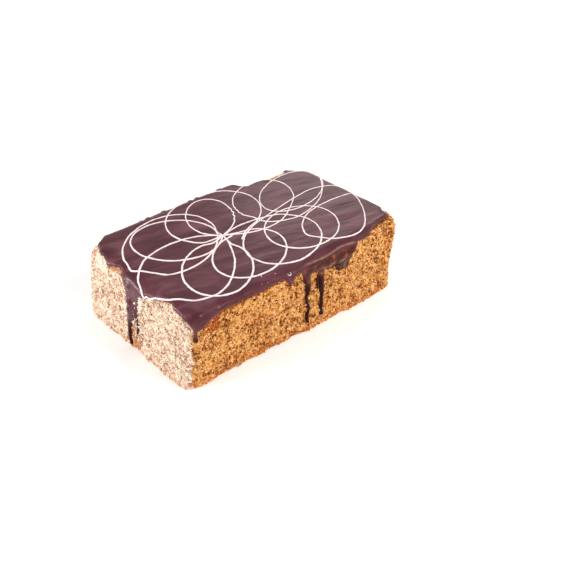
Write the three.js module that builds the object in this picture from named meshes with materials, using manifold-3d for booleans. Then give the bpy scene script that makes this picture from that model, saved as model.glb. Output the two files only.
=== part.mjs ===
// A rectangular layer cake, about 210 x 132 x 66 mm, coated all round in fine crumbs and topped with
// chocolate icing that runs down its sides, with a white line piped over it in loops.
//
// Millimetres. +X runs along the cake, +Z is up, and the origin is the middle of its underside.
// The long side at -Y is called the front, and the short end at -X the left.
// The icing is one skin with the piped line fused on. It keeps a small gap to the cake under it.

import * as THREE from 'three';
import { mergeVertices } from 'three/addons/utils/BufferGeometryUtils.js';
import Module from 'manifold-3d';

// ---- driving sizes -------------------------------------------------------------------------

const LENGTH = 209;            // over the crumb coat at the foot
const WIDTH = 128;             // the same, across
const CAKE_HEIGHT = 63.6;      // crumb-coated body, without the icing
const CENTRE = { x: -0.1, y: 0.9 };   // puts the middle of the whole, drips and all, over the origin
const LEAN = { front: -2, right: 1.2, back: 2, left: 2.5 };  // each side leans in this far at the top
const FOOT_TURN = THREE.MathUtils.degToRad(-1.8);            // the foot sits turned under the top
const EDGE_ROUND = 7;          // radius of the top edge
const FOOT_ROUND = 2.5;        // the crumbs at the foot tuck in over this height
const FOOT_TUCK = 1.2;
const CORNER = { nearRight: 14, farRight: 19, farLeft: 13, nearLeft: 11 };  // radii in plan

const ICING = 1.9;             // thickness of the chocolate
const GAP = 0.3;               // clearance between the icing and the crumbs
const LIP_SINK = 2;            // the icing is first made this deep, then cut back by the cake
const EDGE_INSIDE = 1.5;       // its rings over the rounded edge start this far in on the flat
const ICING_CORE_Z = 45;       // a height that is inside the cake everywhere

const LINE_WIDE = 1.9;         // the piped line
const LINE_TALL = 1.0;
const LINE_SINK = 0.6;         // how deep the piped line is bedded into the icing
const LINE_STEP = 8;           // distance between its sections

const CAKE_STEP = 8;           // distance between the sections round the cake
const ICING_STEP = 6;          // the same, round the icing's rim
const DRIP_STEP = 6;           // and down a drip

const HALF_LENGTH = LENGTH / 2;
const HALF_WIDTH = WIDTH / 2;
const PERIMETER = 2 * (LENGTH + WIDTH);
const EDGE_RUN = EDGE_ROUND * Math.PI / 2;   // length of the rounded edge, over its curve

// ---- the cake's own surface ----------------------------------------------------------------
// A place round the cake is u: the distance along the foot's sharp-cornered rectangle, from the
// near left corner, anticlockwise. A place over the edge is run: the distance along the surface
// from where the flat top ends, positive outwards and down.

const front = (x) => HALF_LENGTH + x;
const right = (y) => LENGTH + HALF_WIDTH + y;
const back = (x) => LENGTH + WIDTH + HALF_LENGTH - x;
const left = (y) => 2 * LENGTH + WIDTH + HALF_WIDTH - y;

// Where the top edge sits further in: at the back right, and behind a ledge of crumbs at the far left.
const DENTS = [
  { from: right(34), to: back(33), deep: 11, ease: 14, low: 0.3, high: 0.95 },
  { from: back(-84), to: left(42), deep: 4, ease: 10, low: 0.8, high: 1 },
];

const CORNERS = [
  { u: 0, r: CORNER.nearLeft, sx: -1, sy: -1, from: 180 },
  { u: LENGTH, r: CORNER.nearRight, sx: 1, sy: -1, from: 270 },
  { u: LENGTH + WIDTH, r: CORNER.farRight, sx: 1, sy: 1, from: 0 },
  { u: 2 * LENGTH + WIDTH, r: CORNER.farLeft, sx: -1, sy: 1, from: 90 },
];

const wrap = (u) => ((u % PERIMETER) + PERIMETER) % PERIMETER;

// A point of the rounded rectangle, and the way out from it.
function rim(u) {
  const at = wrap(u);
  for (const { u: corner, r, sx, sy, from } of CORNERS) {
    const past = ((at - corner + PERIMETER * 1.5) % PERIMETER) - PERIMETER / 2;
    if (Math.abs(past) < r) {
      const angle = THREE.MathUtils.degToRad(from + 90 * (past + r) / (2 * r));
      const nx = Math.cos(angle);
      const ny = Math.sin(angle);
      return { x: sx * (HALF_LENGTH - r) + r * nx, y: sy * (HALF_WIDTH - r) + r * ny, nx, ny };
    }
  }
  if (at < LENGTH) return { x: at - HALF_LENGTH, y: -HALF_WIDTH, nx: 0, ny: -1 };
  if (at < LENGTH + WIDTH) return { x: HALF_LENGTH, y: at - LENGTH - HALF_WIDTH, nx: 1, ny: 0 };
  if (at < 2 * LENGTH + WIDTH) return { x: HALF_LENGTH + LENGTH + WIDTH - at, y: HALF_WIDTH, nx: 0, ny: 1 };
  return { x: -HALF_LENGTH, y: HALF_WIDTH + 2 * LENGTH + WIDTH - at, nx: -1, ny: 0 };
}

// The hand-spread sides swell in and out by about a millimetre.
function swell(u, z) {
  const round = 2 * Math.PI * u / PERIMETER;
  return 0.5 * Math.sin(5 * round + z / 19 + 1.1)
    + 0.4 * Math.sin(13 * round - z / 13)
    + 0.3 * Math.sin(29 * round + z / 7 + 2.0);
}

// How far in the sides have come at this share of the height, by leaning and where they are dented.
function inset(u, height) {
  const { nx, ny } = rim(u);
  const { smoothstep } = THREE.MathUtils;
  const lean = nx ** 2 * (nx > 0 ? LEAN.right : LEAN.left) + ny ** 2 * (ny > 0 ? LEAN.back : LEAN.front);
  const dents = DENTS.map(({ from, to, deep, ease, low, high }) => deep
    * smoothstep(wrap(u), from, from + ease) * (1 - smoothstep(wrap(u), to - ease, to))
    * smoothstep(height, low, high));
  return dents.reduce((sum, dent) => sum + dent, lean * height);
}

// Moves a point of the straight block to where the real cake has it.
function settle(x, y, z) {
  const turn = FOOT_TURN * (1 - z / CAKE_HEIGHT);
  return new THREE.Vector3(
    CENTRE.x + x * Math.cos(turn) - y * Math.sin(turn),
    CENTRE.y + x * Math.sin(turn) + y * Math.cos(turn),
    z,
  );
}

// A point of the surface, at u round the cake and run over its edge, proud of the crumbs.
function onCake(u, run, proud = 0) {
  const { x, y, nx, ny } = rim(u);
  let into = -proud;
  let z = CAKE_HEIGHT - EDGE_ROUND - (run - EDGE_RUN);
  if (run < 0) {
    into = EDGE_ROUND - run;
    z = CAKE_HEIGHT + proud;
  } else if (run < EDGE_RUN) {
    const tilt = run / EDGE_ROUND;
    into = EDGE_ROUND - (EDGE_ROUND + proud) * Math.sin(tilt);
    z = CAKE_HEIGHT - EDGE_ROUND + (EDGE_ROUND + proud) * Math.cos(tilt);
  }
  into += z < FOOT_ROUND ? FOOT_TUCK * (1 - z / FOOT_ROUND) ** 2 : 0;
  into += inset(u, z / CAKE_HEIGHT) - swell(u, z) * THREE.MathUtils.smoothstep(run, 0, EDGE_RUN);
  return settle(x - nx * into, y - ny * into, z);
}

// A point of the flat top, a share of the way out from the middle to where the edge begins.
function onTop(u, share, proud = 0) {
  const { x, y, nx, ny } = rim(u);
  const into = EDGE_ROUND + inset(u, 1);
  return settle(share * (x - nx * into), share * (y - ny * into), CAKE_HEIGHT + proud);
}

// ---- closed solids from rings of points ----------------------------------------------------

const wasm = await Module();
wasm.setup();

function solidFrom(points, triangles) {
  return new wasm.Manifold(new wasm.Mesh({
    numProp: 3,
    vertProperties: Float32Array.from(points.flatMap((p) => [p.x, p.y, p.z])),
    triVerts: Uint32Array.from(triangles),
  }));
}

// Closed skin over a stack of rings, each anticlockwise seen from the end that the stack grows to.
function stack(start, rings, end) {
  const count = rings[0].length;
  const points = [start, ...rings.flat(), end];
  const triangles = [];
  for (let i = 0; i < count; i += 1) {
    const j = (i + 1) % count;
    triangles.push(0, 1 + j, 1 + i);
    for (let k = 0; k + 1 < rings.length; k += 1) {
      const low = 1 + k * count;
      const high = low + count;
      triangles.push(low + i, low + j, high + j, low + i, high + j, high + i);
    }
    const top = 1 + (rings.length - 1) * count;
    triangles.push(top + i, top + j, points.length - 1);
  }
  return solidFrom(points, triangles);
}

// Places round the cake: every spacing along the sides, and four steps round each corner.
function stations(spacing, extra = []) {
  const list = [];
  CORNERS.forEach((corner, k) => {
    const next = CORNERS[(k + 1) % CORNERS.length];
    const end = next.u || PERIMETER;
    for (let step = -1; step <= 1; step += 0.5) list.push(wrap(corner.u + step * corner.r));
    const clear = end - next.r - corner.u - corner.r;
    const steps = Math.round(clear / spacing);
    for (let i = 1; i < steps; i += 1) list.push(corner.u + corner.r + clear * i / steps);
  });
  const sorted = [...list, ...extra].sort((p, q) => p - q);
  return sorted.filter((u, i) => i === 0 || u - sorted[i - 1] > spacing / 3);
}

// ---- the crumb-coated body -----------------------------------------------------------------

const WALL_STEPS = [0, 0.05, 0.24, 0.43, 0.62, 0.81];   // shares of the wall's height, from the foot
const EDGE_STEPS = [1, 0.67, 0.33, 0];              // shares of the rounded edge, from the wall

function crumbBody(proud = 0, below = 0) {
  const around = stations(CAKE_STEP);
  const wall = CAKE_HEIGHT - EDGE_ROUND;
  const rings = [
    ...WALL_STEPS.map((share) => around.map((u) => onCake(u, EDGE_RUN + wall * (1 - share), proud))),
    ...EDGE_STEPS.map((share) => around.map((u) => onCake(u, EDGE_RUN * share, proud))),
  ];
  if (below) rings[0].forEach((point) => { point.z -= below; });
  return stack(
    new THREE.Vector3(0, 0, -below),
    rings,
    onTop(0, 0, proud),
  );
}

// ---- where the icing ends ------------------------------------------------------------------
// How far the chocolate runs over the edge, in millimetres along the surface. The front and the
// left end are as shown, and the two hidden sides carry on in the same way.

const ICING_REACH = [
  [front(-100), 15], [front(-96.5), 16.5], [front(-92), 12.5], [front(-86), 10.8], [front(-72), 8],
  [front(-42), 8.2], [front(-21), 8], [front(-15), 14.5], [front(-11), 10.5], [front(-5), 8.4],
  [front(1), 12.5], [front(8), 12.6], [front(14), 15], [front(24), 14.8], [front(29), 17],
  [front(36), 23.7], [front(43), 22.5], [front(48.5), 10.5], [front(56), 7.8], [front(64), 7.2],
  [front(74), 3.8], [front(84), 2.3], [front(97), 1.2],
  [right(-53), 1.5], [right(-42), 6], [right(-14), 10], [right(8), 8], [right(30), 13], [right(46), 7],
  [back(92), 5], [back(82), 1], [back(66), 1], [back(56), 6], [back(32), 13], [back(10), 8],
  [back(-16), 11], [back(-38), 8], [back(-60), 14], [back(-80), 9], [back(-92), 3],
  [left(48), 3.5], [left(42), 4.5], [left(36), 6.6], [left(30), 9], [left(24), 7.5], [left(18), 5.6],
  [left(12), 13], [left(-4), 16], [left(-14), 13], [left(-21), 10.5], [left(-30), 6.9],
  [left(-38), 5.1], [left(-45), 7.4], [left(-53), 7.8], [left(-61), 9.5],
].map(([u, reach]) => [wrap(u), reach]).sort((p, q) => p[0] - q[0]);

// The reach at any place, eased from one stated place to the next.
function icingReach(u) {
  const at = wrap(u);
  const after = ICING_REACH.findIndex(([place]) => place > at);
  const next = after < 0 ? 0 : after;
  const [u1, reach1] = ICING_REACH[next];
  const [u0, reach0] = ICING_REACH[(next + ICING_REACH.length - 1) % ICING_REACH.length];
  const share = wrap(at - u0) / wrap(u1 - u0);
  return THREE.MathUtils.lerp(reach0, reach1, THREE.MathUtils.smoothstep(share, 0, 1));
}

// The block whose outside is the icing's. Its lower rim is rounded and turns in under itself.
function icingBlock() {
  const around = stations(ICING_STEP, ICING_REACH.map(([u]) => u));
  const ring = (place) => around.map((u) => place(u, icingReach(u)));
  const lip = (reach) => Math.min(reach - 0.9 * ICING, EDGE_RUN);
  const { lerp } = THREE.MathUtils;
  const over = (share) => ring((u, reach) => onCake(u, lerp(-EDGE_INSIDE, lip(reach), share), ICING));
  return stack(
    new THREE.Vector3(0, 0, ICING_CORE_Z),
    [
      ring((u, reach) => onCake(u, reach + 0.3 * ICING, -LIP_SINK)),
      ring((u, reach) => onCake(u, reach + 0.3 * ICING, 0.45 * ICING)),
      ring((u, reach) => onCake(u, reach - 0.4 * ICING, 0.95 * ICING)),
      over(1),
      over(0.67),
      over(0.33),
      over(0),
    ],
    onTop(0, 0, ICING),
  );
}

// ---- drips and folds -----------------------------------------------------------------------

// A rounded bead along a path of { at, up, wide, tall }, bedded into what it lies on.
// The section is given as shares of the width across and of the height up.
function bead(path, section, sink) {
  const rings = path.map(({ at, up, wide, tall }, i) => {
    const before = path[Math.max(i - 1, 0)].at;
    const after = path[Math.min(i + 1, path.length - 1)].at;
    const along = new THREE.Vector3().subVectors(after, before).normalize();
    const across = new THREE.Vector3().crossVectors(along, up).normalize();
    return section.map(([a, h]) => at.clone()
      .addScaledVector(across, a * wide)
      .addScaledVector(up, h < 0 ? -sink : h * tall));
  });
  const middle = (ring) => ring.reduce((sum, p) => sum.add(p), new THREE.Vector3())
    .divideScalar(ring.length);
  return stack(middle(rings[0]), rings, middle(rings.at(-1)));
}

const DRIP_SECTION = [[-0.45, -1], [-0.5, 0.2], [-0.25, 0.9], [0.25, 0.9], [0.5, 0.2], [0.45, -1]];

// A run of chocolate on the side of the cake. Each place is [u, run, wide, tall].
function drip(places) {
  const path = [];
  for (let i = 0; i + 1 < places.length; i += 1) {
    const [from, to] = [places[i], places[i + 1]];
    const steps = Math.max(1, Math.round(Math.hypot(to[0] - from[0], to[1] - from[1]) / DRIP_STEP));
    for (let k = i ? 1 : 0; k <= steps; k += 1) {
      const [u, run, wide, tall] = from.map((value, n) => THREE.MathUtils.lerp(value, to[n], k / steps));
      const at = onCake(u, run);
      path.push({ at, up: onCake(u, run, 1).sub(at).normalize(), wide, tall });
    }
  }
  return bead(path, DRIP_SECTION, LIP_SINK);
}

// A thin drip that wanders a little as it runs down.
function wanderingDrip({ u, lean, from, to, wide, tall, sway, turns }) {
  const steps = Math.round((to - from) / DRIP_STEP);
  const places = Array.from({ length: steps + 1 }, (_, i) => {
    const share = i / steps;
    const narrow = THREE.MathUtils.lerp(wide, 0.6 * wide, Math.min(1, 2.5 * share));
    return [
      u + lean * share + sway * Math.sin(2 * Math.PI * turns * share),
      from + (to - from) * share,
      narrow * (1 + 0.12 * Math.sin(9 * share + u)),
      tall,
    ];
  });
  const [lastU, lastRun] = places.at(-1);
  return drip([...places, [lastU, lastRun + 0.5 * wide, 0.3 * wide, 0.5 * tall]]);
}

// A short drip at the near corner, and a few guessed ones on the right and the back.
const DRIPS = [
  { u: front(-99), lean: 0.5, from: 13, to: 22.5, wide: 4, tall: 2.2, sway: 0, turns: 1 },
  { u: right(-16), lean: 2, from: 8, to: 34, wide: 5.5, tall: 2.6, sway: 0.6, turns: 1.2 },
  { u: right(30), lean: -2, from: 10, to: 47, wide: 6.5, tall: 2.8, sway: 0.9, turns: 1.5 },
  { u: back(31), lean: 2, from: 10, to: 52, wide: 6, tall: 2.7, sway: 1, turns: 1.8 },
  { u: back(-16), lean: -2, from: 9, to: 30, wide: 5, tall: 2.5, sway: 0.5, turns: 1 },
  { u: back(-60), lean: 2, from: 11, to: 43, wide: 6.5, tall: 2.8, sway: 0.9, turns: 1.4 },
];

// The two long thin drips on the front.
const FRONT_DRIPS = [
  [
    [front(0), 10, 5, 2.6], [front(2.5), 18, 4.2, 2.6], [front(4.5), 24, 3.6, 2.6],
    [front(4.2), 30, 3.2, 2.5], [front(3.4), 34, 3, 2.4], [front(5), 39, 3, 2.4],
    [front(7), 45, 3.2, 2.4], [front(5.8), 50.5, 3, 2.4], [front(6.4), 56, 2.6, 2],
    [front(6.4), 58, 1, 1.2],
  ],
  [
    [front(16.5), 12, 6, 2.8], [front(17.7), 19, 5.2, 2.8], [front(18), 27, 4.4, 2.8],
    [front(19), 35, 3.8, 2.6], [front(18.6), 40, 3.2, 2.5], [front(19.2), 46, 3, 2.4],
    [front(19), 51, 3, 2.4], [front(20.2), 55, 2.8, 2], [front(20.4), 57, 1, 1.2],
  ],
];

// The broad run down the left end, which narrows to a thread just above the foot.
const BROAD_DRIP = [
  [left(1.5), 6, 27, 2.2], [left(-0.5), 13, 23.5, 2.8], [left(-0.3), 20, 19.5, 3.2],
  [left(0.5), 28, 14.5, 3.2], [left(1.5), 34, 12, 3.1], [left(4), 41, 7.5, 2.8],
  [left(5), 48, 5, 2.5], [left(5), 57, 4, 2.2], [left(3.5), 63, 2.4, 1.8],
];

// A thinner run that leaves its right side halfway down.
const SIDE_RUN = [
  [left(-2.5), 30, 5, 2.4], [left(-5.5), 38, 4, 2.2], [left(-6.5), 44, 3.4, 2], [left(-4.5), 51, 3, 1.8],
  [left(-4), 55.5, 1.6, 1.2],
];

// The icing folded over itself along the front edge.
const FOLD = [
  [front(-9), 6.5, 2, 2.2], [front(3), 9.5, 6, 3.2], [front(17), 11, 9, 3.7], [front(31), 12.5, 13, 3.9],
  [front(41), 13.5, 13, 3.8], [front(47.5), 10, 6, 3],
];

// Small crags of icing along the back edge: [x, run, size].
const CRAGS = [
  [37, 2, 2.6], [25, 5, 2.4], [2, 5, 2.6], [-5, 4, 2], [-30, 5, 2.2], [-46, 4.5, 3], [-52, 6, 2.2],
];

function crag([x, run, size], index) {
  const lump = new THREE.IcosahedronGeometry(size, 0);
  lump.deleteAttribute('normal');
  lump.deleteAttribute('uv');
  const merged = mergeVertices(lump, 1e-3);
  const at = onCake(back(x), run, ICING * 0.8);
  merged.applyMatrix4(new THREE.Matrix4().compose(
    at,
    new THREE.Quaternion().setFromEuler(new THREE.Euler(index, 2 * index, 3 * index)),
    new THREE.Vector3(1.3, 0.9, 0.8),
  ));
  const corners = merged.attributes.position;
  const corner = (_, i) => new THREE.Vector3().fromBufferAttribute(corners, i);
  const points = Array.from({ length: corners.count }, corner);
  return solidFrom(points, merged.index.array);
}

// ---- the piped white line ------------------------------------------------------------------

// Part of an ellipse, as places on the top: middle, half length, half width, the turn of its
// length from +X, and the angles that the line starts and ends at.
function arc(x, y, half, side, turn, from, to) {
  const steps = Math.max(2, Math.round(Math.abs(to - from) / 24));
  const [c, s] = [Math.cos(THREE.MathUtils.degToRad(turn)), Math.sin(THREE.MathUtils.degToRad(turn))];
  return Array.from({ length: steps + 1 }, (_, i) => {
    const angle = THREE.MathUtils.degToRad(THREE.MathUtils.lerp(from, to, i / steps));
    const [p, q] = [half * Math.cos(angle), side * Math.sin(angle)];
    return new THREE.Vector2(x + c * p - s * q, y + s * p + c * q);
  });
}

const at = (x, y) => new THREE.Vector2(x, y);

// Each stroke goes round a few loops, in the order that the bag was moved.
const KNOT = at(-20.5, 0.5);   // where most of the loops meet
const STROKES = [
  [
    at(98.5, -17), at(78, -14), at(53, -16.5), at(36, -25.5), at(27, -39), at(31.5, -49), at(41, -59),
    at(60, -62), at(77, -52), at(94.5, -29.5), at(101.5, -8), at(97, 2), at(78.5, 9), at(53.5, 6.5),
    at(27.5, 1.5), at(5, -4), ...arc(9.5, -32, 36, 27.5, 25, 105, 375), at(31, -3.5), at(15, 1.5),
    at(-3, 3.5), KNOT,
  ],
  [...arc(32.5, -28.5, 32.5, 27, 22, 70, 430)],
  [KNOT, ...arc(-21.5, -30.5, 34.5, 25, 25, 52, -300), KNOT],
  [KNOT, ...arc(-52, -31, 34.5, 25, 45, 15, 345), KNOT],
  [
    KNOT, at(-37.5, 12.5), at(-60.5, 16.5), at(-83, 10), at(-100, -3), at(-107.5, -15), at(-105, -26),
    at(-96, -43), at(-87, -52.5), at(-70, -55), at(-53, -47), at(-37, -32), at(-26, -14), KNOT,
  ],
  [...arc(-56.5, 17, 43.5, 33, 29.5, -60, 300)],
  [KNOT, ...arc(-51, 18.5, 33, 28.5, 144, -165, 160), KNOT],
  [at(-14, -13), ...arc(-7, 27.5, 42.5, 33, 14, -95, 212), KNOT],
  [KNOT, ...arc(-10, 28.5, 27.5, 18.5, 58, -129, 172), KNOT],
  [
    KNOT, at(-7.5, -7.5), at(1, -11), at(16, -13), at(32.5, -9.5),
    ...arc(40, 23, 31.5, 23.5, 34, -85, 183), at(16, -3.5), at(25, -11.5), at(43, -16), at(65.5, -10.5),
    at(84, 1), ...arc(66, 17.5, 37, 22, 20.5, -25, 328),
  ],
  [at(-35.5, -57), at(-37, -60)],
];

// Where the line hand-wobbled: the middle of the stretch, how long it is, and by how much.
const WOBBLE = { x: 4, y: 20, reach: 13, sway: 0.9, every: 5 };

// How far a place of the plan lies outside the flat of the top, and the way out there.
function pastFlat(x, y) {
  const corner = CORNERS.find(({ sx, sy }) => sx * x >= 0 && sy * y >= 0);
  const px = corner.sx * x - (HALF_LENGTH - corner.r);
  const py = corner.sy * y - (HALF_WIDTH - corner.r);
  let u = corner.sy < 0 ? front(x) : back(x);
  if (px > 0 && py > 0) {
    const angle = THREE.MathUtils.radToDeg(Math.atan2(corner.sy * py, corner.sx * px));
    u = corner.u + corner.r * (2 * ((angle - corner.from + 720) % 360) / 90 - 1);
  } else if (px > py) {
    u = corner.sx < 0 ? left(y) : right(y);
  }
  const edge = rim(u);
  const distance = (x - edge.x) * edge.nx + (y - edge.y) * edge.ny + EDGE_ROUND + inset(u, 1);
  return { distance, nx: edge.nx, ny: edge.ny };
}

// A place on the icing for a place in the plan. Past the flat it lies over the rounded edge.
function onIcing(x, y, proud = 0) {
  const radius = EDGE_ROUND + ICING;
  const { distance, nx, ny } = pastFlat(x, y);
  if (distance <= 0) return settle(x, y, CAKE_HEIGHT + ICING + proud);
  const tilt = Math.min(distance / radius, Math.PI / 2);
  const outwards = (radius + proud) * Math.sin(tilt) - distance;
  const z = CAKE_HEIGHT - EDGE_ROUND + (radius + proud) * Math.cos(tilt);
  return settle(x + nx * outwards, y + ny * outwards, z);
}

const LINE_SECTION = [[-0.5, -1], [0, 1], [0.5, -1]];

function pipedLine(places) {
  const curve = new THREE.SplineCurve(places);
  const steps = Math.ceil(curve.getLength() / LINE_STEP);
  const path = curve.getSpacedPoints(steps).map((point) => {
    const away = Math.hypot(point.x - WOBBLE.x, point.y - WOBBLE.y) / WOBBLE.reach;
    const sway = WOBBLE.sway * Math.max(0, 1 - away) * Math.sin(2 * Math.PI * point.y / WOBBLE.every);
    const [x, y] = [point.x + sway, point.y];
    const place = onIcing(x, y);
    return { at: place, up: onIcing(x, y, 1).sub(place).normalize(), wide: LINE_WIDE, tall: LINE_TALL };
  });
  // The line crosses itself, so it is made in short lengths that don't.
  const pieces = [];
  const lengthSteps = 12;
  for (let i = 0; i < path.length - 1; i += lengthSteps) {
    pieces.push(bead(path.slice(i, i + lengthSteps + 1), LINE_SECTION, LINE_SINK));
  }
  return pieces;
}

// ---- assembly ------------------------------------------------------------------------------

function meshOf(name, solid, color, roughness) {
  const { vertProperties, triVerts } = solid.getMesh();
  const geometry = new THREE.BufferGeometry();
  geometry.setAttribute('position', new THREE.BufferAttribute(new Float32Array(vertProperties), 3));
  geometry.setIndex(new THREE.BufferAttribute(new Uint32Array(triVerts), 1));
  geometry.computeVertexNormals();
  const mesh = new THREE.Mesh(geometry, new THREE.MeshStandardMaterial({ color, roughness, metalness: 0 }));
  mesh.name = name;
  return mesh;
}

const additions = [
  ...DRIPS.map(wanderingDrip),
  ...[...FRONT_DRIPS, BROAD_DRIP, SIDE_RUN, FOLD].map(drip),
  ...CRAGS.map(crag),
  ...STROKES.flatMap(pipedLine),
];
const icing = additions
  .reduce((whole, piece) => whole.add(piece), icingBlock())
  .subtract(crumbBody(GAP, 1));

const cake = new THREE.Group();
cake.add(meshOf('crumb_coated_cake', crumbBody(), 0xd49c58, 0.95));
cake.add(meshOf('chocolate_icing', icing, 0x5c3b40, 0.35));

export default cake;
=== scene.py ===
# %% [markdown]
# # A crumb-coated layer cake under chocolate icing
#
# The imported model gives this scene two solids: the cake's body, and the icing with its piped line.
# Both are right in size but plain. Here each one is replaced by finer pieces that keep its form:
# a body of pressed crumbs with loose grains on it, a glossy icing, and a white line piped on top.

# %% Load the frame
import math

import bmesh
import bpy
import numpy as np
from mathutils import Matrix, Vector, noise


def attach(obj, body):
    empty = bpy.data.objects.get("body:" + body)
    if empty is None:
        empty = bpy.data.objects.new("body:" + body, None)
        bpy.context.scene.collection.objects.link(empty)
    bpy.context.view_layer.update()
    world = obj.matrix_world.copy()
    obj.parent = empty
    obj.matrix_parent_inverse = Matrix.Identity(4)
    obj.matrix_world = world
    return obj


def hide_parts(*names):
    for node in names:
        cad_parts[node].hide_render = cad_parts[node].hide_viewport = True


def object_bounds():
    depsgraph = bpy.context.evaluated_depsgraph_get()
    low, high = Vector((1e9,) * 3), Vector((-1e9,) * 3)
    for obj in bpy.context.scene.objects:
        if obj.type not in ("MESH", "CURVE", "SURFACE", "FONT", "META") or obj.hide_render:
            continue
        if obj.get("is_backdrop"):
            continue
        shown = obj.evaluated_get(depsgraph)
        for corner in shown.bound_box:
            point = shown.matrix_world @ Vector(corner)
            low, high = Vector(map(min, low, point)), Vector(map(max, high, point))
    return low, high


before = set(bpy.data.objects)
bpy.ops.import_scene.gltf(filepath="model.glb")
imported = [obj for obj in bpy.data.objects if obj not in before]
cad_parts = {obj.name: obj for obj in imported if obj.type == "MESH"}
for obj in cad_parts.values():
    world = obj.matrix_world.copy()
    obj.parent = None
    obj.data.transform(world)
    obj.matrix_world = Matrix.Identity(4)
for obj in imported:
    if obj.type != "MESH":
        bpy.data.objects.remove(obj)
cad_low, cad_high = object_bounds()
scene = bpy.context.scene
MM = 0.001


def stand(name, data):
    """A new object in the scene."""
    made = bpy.data.objects.new(name, data)
    scene.collection.objects.link(made)
    return made


print("nodes", sorted(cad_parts), "box", [round(v / MM, 1) for v in (*cad_low, *cad_high)])

# %% [markdown]
# ## The camera
#
# A camera is matched to a photo by its direction, distance and lens. The cake's straight edges
# and the length of its sides settle those: it was seen from the near left, 34 degrees above.
# The picture's middle isn't the lens's middle, so the sensor is shifted a little instead of
# turning the camera, which would bend the verticals.

# %% Camera
CAMERA_TURN, CAMERA_RISE = -41.31, 34.41
CAMERA_DISTANCE = 730 * MM
LOOKS_AT = Vector((7.5, 8.8, 0)) * MM
FOCAL_PIXELS, PICTURE_PIXELS, MIDDLE_PIXEL = 909.4, 580, 245

turn, rise = math.radians(CAMERA_TURN), math.radians(CAMERA_RISE)
across = math.cos(rise)
towards_camera = Vector((math.sin(turn) * across, -math.cos(turn) * across, math.sin(rise)))
camera_data = bpy.data.cameras.new("camera")
camera_data.sensor_width = 36
camera_data.lens = 36 * FOCAL_PIXELS / PICTURE_PIXELS
camera_data.shift_x = (PICTURE_PIXELS / 2 - MIDDLE_PIXEL) / PICTURE_PIXELS
camera_data.clip_start, camera_data.clip_end = 0.01, 20
camera = stand("camera", camera_data)
camera.location = LOOKS_AT + towards_camera * CAMERA_DISTANCE
camera.rotation_mode = "QUATERNION"
camera.rotation_quaternion = (-towards_camera).to_track_quat("-Z", "Y")
scene.camera = camera
print("lens", round(camera_data.lens, 2), "mm, shift", round(camera_data.shift_x, 4))

# %% [markdown]
# ## The cake's own surface
#
# Everything on this cake lies on one surface, so that surface is written once, as a function,
# and all the pieces are laid on it. A place round the cake is `u`: millimetres along the foot's
# rectangle, anticlockwise from the near left corner. A place over the edge is `run`: millimetres
# along the surface from where the flat top ends. `proud` is how far off the crumbs a point stands.
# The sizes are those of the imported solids.

# %% Sizes of the body, in millimetres
LENGTH, WIDTH, CAKE_HEIGHT = 209.0, 128.0, 63.6
CENTRE = (-0.1, 0.9)
# How far each side leans in at the top. The front leans out a little.
LEAN = {"front": -2, "right": 1.2, "back": 2, "left": 2.5}
FOOT_TURN = math.radians(-1.8)
EDGE_ROUND = 7.0
FOOT_ROUND, FOOT_TUCK = 2.5, 1.2
ICING = 1.9
AROUND = 2 * (LENGTH + WIDTH)
EDGE_RUN = EDGE_ROUND * math.pi / 2
WALL_RUN = EDGE_RUN + CAKE_HEIGHT - EDGE_ROUND
# A corner's room to come inwards: the most it may be, what it keeps, and how it grows past the arc.
MOST_ROOM, ROOM_KEPT, ROOM_GROWS = 60.0, 0.4, 0.7
# The run at which a grid changes from level rows to rows that go over the edge.
FLAT_EDGE = -1.5

# Each corner: its place u, its radius, which way it points, and where its arc starts, in degrees.
CORNERS = [
    (0, 11, -1, -1, 180),
    (LENGTH, 14, 1, -1, 270),
    (LENGTH + WIDTH, 19, 1, 1, 0),
    (2 * LENGTH + WIDTH, 13, -1, 1, 90),
]


def front(x):
    return LENGTH / 2 + x


def right(y):
    return LENGTH + WIDTH / 2 + y


def back(x):
    return LENGTH + WIDTH + LENGTH / 2 - x


def left(y):
    return 2 * LENGTH + WIDTH + WIDTH / 2 - y


# Where the top edge sits further in: from, to, how deep, over what ease, and between what heights.
DENTS = [
    (right(34), back(33), 11, 14, 0.3, 0.95),
    (back(-84), left(42), 4, 10, 0.8, 1.0),
]
print("round the cake", AROUND, "mm, and from the flat top to the foot", round(WALL_RUN, 1), "mm")


# %% The surface, as functions that take whole arrays
def ease(value, start, end):
    share = np.clip((value - start) / (end - start), 0, 1)
    return share * share * (3 - 2 * share)


def across_to(u, place):
    """Millimetres round the cake from a place, the short way."""
    return np.mod(u - place + AROUND / 2, AROUND) - AROUND / 2


def rim(u):
    """The foot's rounded rectangle at u: x, y and the way out."""
    u = np.mod(np.asarray(u, float), AROUND)
    sides = [u < LENGTH, u < LENGTH + WIDTH, u < 2 * LENGTH + WIDTH]
    x = np.select(sides, [u - LENGTH / 2, LENGTH / 2, LENGTH * 1.5 + WIDTH - u], -LENGTH / 2)
    y = np.select(sides, [-WIDTH / 2, u - LENGTH - WIDTH / 2, WIDTH / 2], WIDTH * 1.5 + 2 * LENGTH - u)
    nx = np.select(sides, [0.0, 1.0, 0.0], -1.0)
    ny = np.select(sides, [-1.0, 0.0, 1.0], 0.0)
    for corner, radius, sx, sy, start in CORNERS:
        past = across_to(u, corner)
        here = np.abs(past) < radius
        angle = np.radians(start + 90 * (past + radius) / (2 * radius))
        nx, ny = np.where(here, np.cos(angle), nx), np.where(here, np.sin(angle), ny)
        x = np.where(here, sx * (LENGTH / 2 - radius) + radius * nx, x)
        y = np.where(here, sy * (WIDTH / 2 - radius) + radius * ny, y)
    return x, y, nx, ny


print("the foot's near corners", np.round(rim([0, LENGTH])[:2], 1).tolist())


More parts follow.
